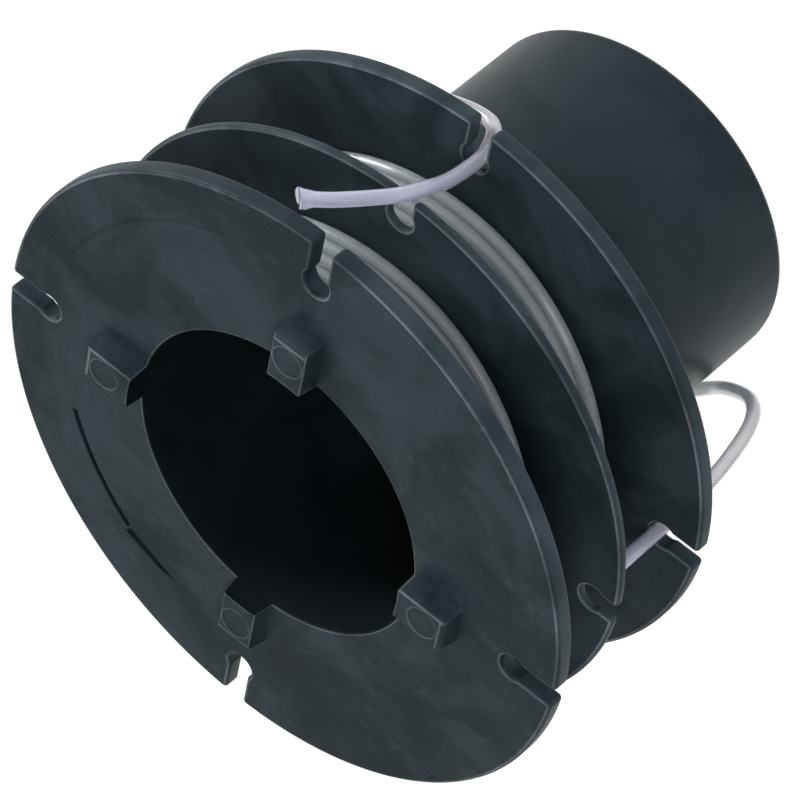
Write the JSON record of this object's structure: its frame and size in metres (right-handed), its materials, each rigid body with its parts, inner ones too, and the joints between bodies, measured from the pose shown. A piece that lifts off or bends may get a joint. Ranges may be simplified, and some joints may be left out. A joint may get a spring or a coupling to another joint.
{
  "type": "string trimmer line spool",
  "caption": "Round spool for a string trimmer head: three notched flanges, two channels wound with clear line, drive lugs around a blind bore and a long bump knob.",
  "frame": {"origin": "centre of the bump knob's end face, which is the bottom of the spool as it stands", "axes": "+Z along the spool's axis from the knob towards the drive face with the lugs; +X and +Y through two neighbouring keyhole notches, +X the one that the line end goes down through"},
  "size_m": [0.064, 0.0641, 0.0524],
  "materials": {
    "black_nylon": "satin black moulded nylon, slightly scuffed",
    "clear_line": "clear extruded nylon monofilament with a faint violet cast"
  },
  "bodies": {
    "root": {"drive_flange": "black_nylon", "upper_barrel": "black_nylon", "middle_flange": "black_nylon", "lower_barrel": "black_nylon", "knob_side_flange": "black_nylon", "knob_sleeve": "black_nylon", "upper_line_winding": "clear_line", "lower_line_winding": "clear_line", "lower_line_end": "clear_line"}
  },
  "joints": []
}
